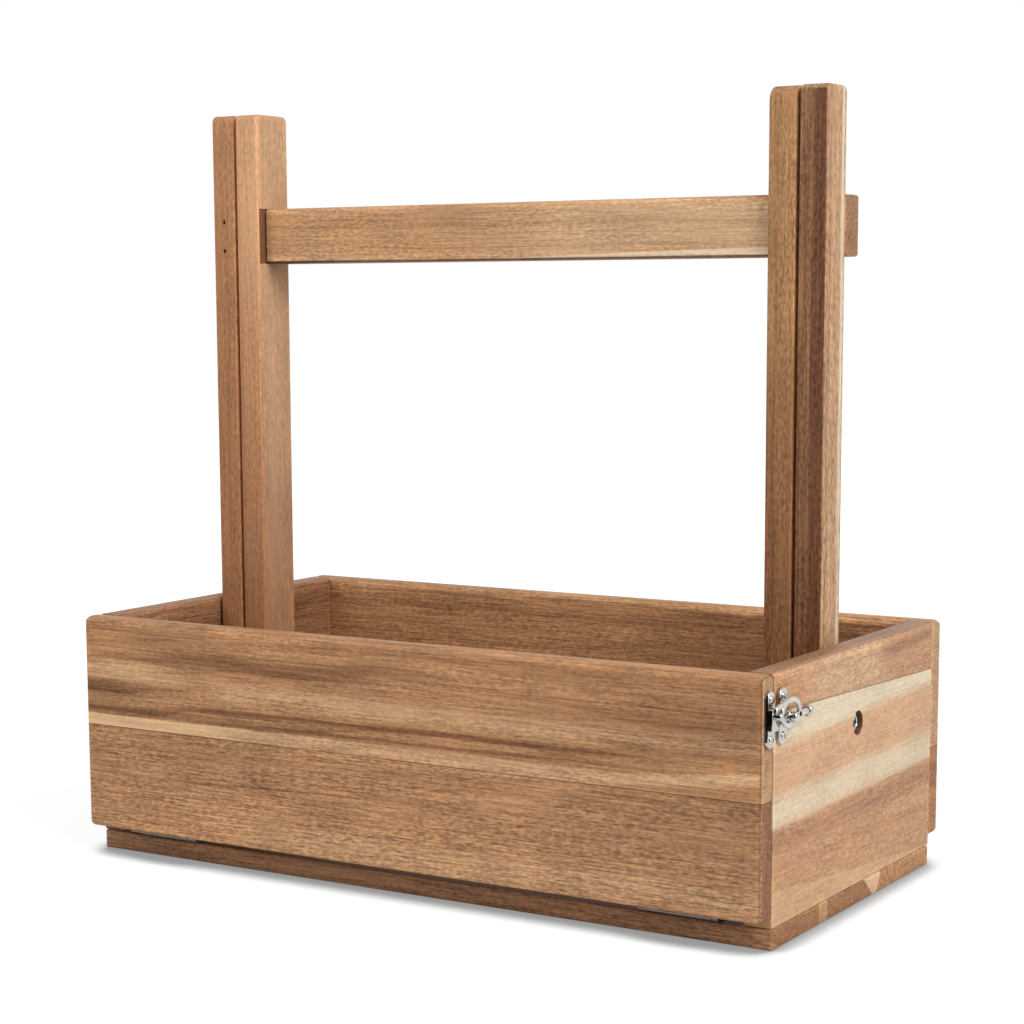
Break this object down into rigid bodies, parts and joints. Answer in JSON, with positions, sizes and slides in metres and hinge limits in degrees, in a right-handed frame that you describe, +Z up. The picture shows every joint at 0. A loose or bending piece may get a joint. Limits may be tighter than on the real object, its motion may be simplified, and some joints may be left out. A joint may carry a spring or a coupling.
{
  "type": "picnic wine carrier",
  "caption": "Wooden picnic wine carrier: open box with drop-down latched side flaps, carried by nested U-frames that pivot on bolts through the end panels.",
  "frame": {"origin": "on the floor, under the middle of the box", "axes": "+X along the length, +Y from the front flap to the back flap, +Z up"},
  "size_m": [0.479, 0.2466, 0.453],
  "materials": {
    "acacia_mid": "oiled satin",
    "acacia_pale": "oiled satin",
    "acacia_dark": "oiled satin",
    "acacia_red": "oiled satin",
    "dowel_wood": "plain",
    "nickel_plate": "nickel plated",
    "plain_steel": "zinc plated"
  },
  "bodies": {
    "box": {"base_board": "acacia_mid", "right_end_panel": "acacia_pale", "left_end_panel": "acacia_pale", "right_pivot_bolt": "nickel_plate", "right_pivot_nut": "nickel_plate", "right_panel_washer": "plain_steel", "right_bar_washer": "plain_steel", "right_nut_washer": "plain_steel", "right_front_box_dowel": "dowel_wood", "right_middle_box_dowel": "dowel_wood", "right_back_box_dowel": "dowel_wood", "left_pivot_bolt": "nickel_plate", "left_pivot_nut": "nickel_plate", "left_panel_washer": "plain_steel", "left_bar_washer": "plain_steel", "left_nut_washer": "plain_steel", "left_front_box_dowel": "dowel_wood", "left_middle_box_dowel": "dowel_wood", "left_back_box_dowel": "dowel_wood", "front_right_hinge_base_leaf": "plain_steel", "front_right_hinge_pin": "plain_steel", "front_left_hinge_base_leaf": "plain_steel", "front_left_hinge_pin": "plain_steel", "back_right_hinge_base_leaf": "plain_steel", "back_right_hinge_pin": "plain_steel", "back_left_hinge_base_leaf": "plain_steel", "back_left_hinge_pin": "plain_steel", "front_right_upper_hook_plate_screw": "nickel_plate", "front_right_lower_hook_plate_screw": "nickel_plate", "front_right_hook_plate": "nickel_plate", "front_right_hook_rivet": "nickel_plate", "back_left_upper_hook_plate_screw": "nickel_plate", "back_left_lower_hook_plate_screw": "nickel_plate", "back_left_hook_plate": "nickel_plate", "back_left_hook_rivet": "nickel_plate"},
    "front_flap_set": {"front_flap": "acacia_mid", "front_right_hinge_flap_leaf": "plain_steel", "front_left_hinge_flap_leaf": "plain_steel", "front_right_upper_catch_screw": "nickel_plate", "front_right_lower_catch_screw": "nickel_plate", "front_right_catch_plate": "nickel_plate"},
    "back_flap_set": {"back_flap": "acacia_mid", "back_right_hinge_flap_leaf": "plain_steel", "back_left_hinge_flap_leaf": "plain_steel", "back_left_upper_catch_screw": "nickel_plate", "back_left_lower_catch_screw": "nickel_plate", "back_left_catch_plate": "nickel_plate"},
    "inner_frame": {"right_inner_bar": "acacia_mid", "left_inner_bar": "acacia_pale", "front_crossbar": "acacia_pale"},
    "outer_frame": {"right_outer_bar": "acacia_dark", "left_outer_bar": "acacia_red", "rear_crossbar": "acacia_mid", "right_upper_crossbar_nail": "plain_steel", "right_lower_crossbar_nail": "plain_steel", "left_upper_crossbar_nail": "plain_steel", "left_lower_crossbar_nail": "plain_steel"},
    "front_right_latch": {"front_right_hook": "nickel_plate"},
    "back_left_latch": {"back_left_hook": "nickel_plate"}
  },
  "joints": [
    {"name": "front_flap_drop", "type": "hinge", "parent": "box", "child": "front_flap_set", "pos_m": [0, -0.1104, 0.0143], "axis": [1, 0, 0], "range_deg": [0, 90]},
    {"name": "back_flap_drop", "type": "hinge", "parent": "box", "child": "back_flap_set", "pos_m": [0, 0.1104, 0.0143], "axis": [-1, 0, 0], "range_deg": [0, 90]},
    {"name": "inner_frame_swing", "type": "hinge", "parent": "box", "child": "inner_frame", "pos_m": [0, 0, 0.104], "axis": [1, 0, 0], "range_deg": [0, 60]},
    {"name": "outer_frame_swing", "type": "hinge", "parent": "box", "child": "outer_frame", "pos_m": [0, 0, 0.104], "axis": [-1, 0, 0], "range_deg": [0, 60]},
    {"name": "front_right_hook_turn", "type": "hinge", "parent": "box", "child": "front_right_latch", "pos_m": [0.2344, -0.1038, 0.1245], "axis": [-1, 0, 0], "range_deg": [-3.5, 100]},
    {"name": "back_left_hook_turn", "type": "hinge", "parent": "box", "child": "back_left_latch", "pos_m": [-0.2344, 0.1038, 0.1245], "axis": [1, 0, 0], "range_deg": [-3.5, 100]}
  ]
}
